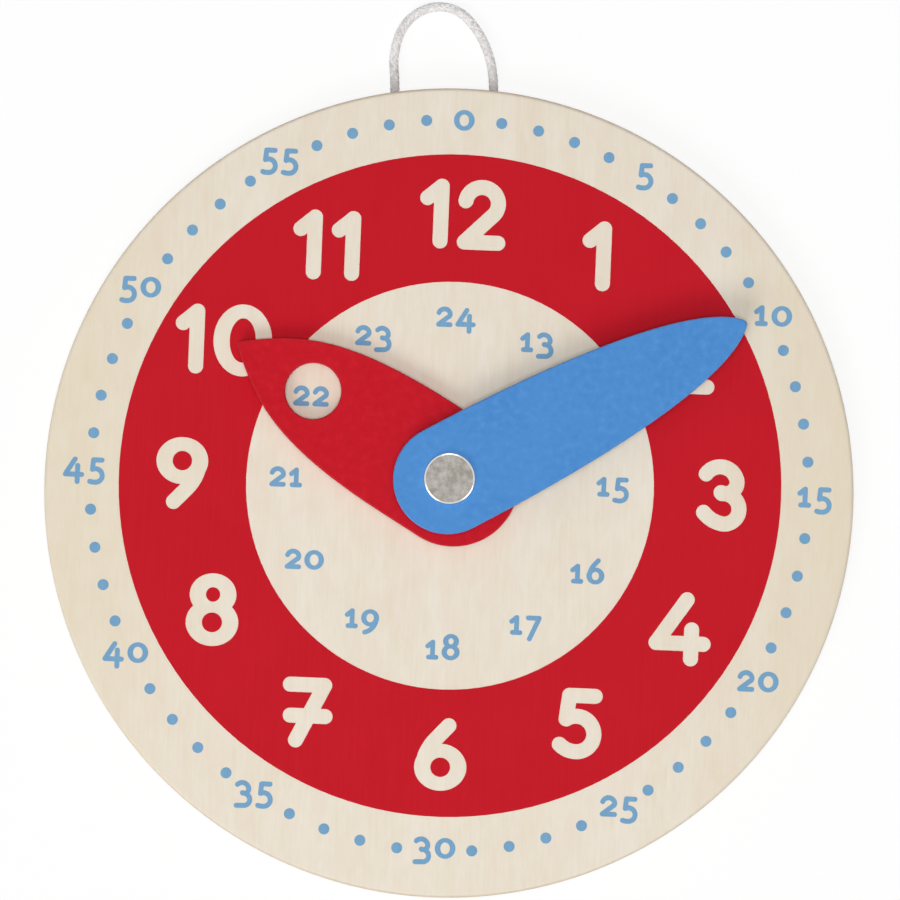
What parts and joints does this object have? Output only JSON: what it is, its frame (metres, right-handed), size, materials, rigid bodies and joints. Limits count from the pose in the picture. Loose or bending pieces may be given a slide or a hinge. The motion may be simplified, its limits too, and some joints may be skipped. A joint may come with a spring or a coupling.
{
  "type": "teaching clock",
  "caption": "Round wooden teaching clock: loose leaf-shaped hands turn on a central pivot over a printed dial with plain numerals, and a short cord loop hangs it up.",
  "frame": {"origin": "centre of the round board's back face; the clock lies on its back with z = 0 on the surface under it", "axes": "+Z out of the printed dial, +Y towards twelve, +X towards three"},
  "size_m": [0.22, 0.2436, 0.0193],
  "materials": {
    "plywood": "fine sanded birch plywood with a thin matt varnish",
    "red_ink": "matt screen print",
    "blue_ink": "matt screen print",
    "red_paint": "satin paint on plywood",
    "blue_paint": "satin paint on plywood",
    "dull_steel": "dull zinc plating",
    "felt": "thin pressed felt",
    "braid": "white and grey braided cord"
  },
  "bodies": {
    "dial": {"dial_board": "plywood", "hour_band_print": "red_ink", "minute_scale_print": "blue_ink", "day_hour_print": "blue_ink", "board_washer": "felt", "hand_washer": "felt", "pivot_barrel": "dull_steel", "pivot_screw": "dull_steel", "rear_washer": "dull_steel", "spring_washer": "dull_steel", "hanging_cord": "braid"},
    "hour_hand": {"hour_hand": "red_paint"},
    "minute_hand": {"minute_hand": "blue_paint"}
  },
  "joints": [
    {"name": "hour_hand_turn", "type": "hinge", "parent": "dial", "child": "hour_hand", "pos_m": [0, 0.004, 0.0108], "axis": [0, 0, -1], "continuous": true},
    {"name": "minute_hand_turn", "type": "hinge", "parent": "dial", "child": "minute_hand", "pos_m": [0, 0.004, 0.0156], "axis": [0, 0, -1], "continuous": true}
  ]
}
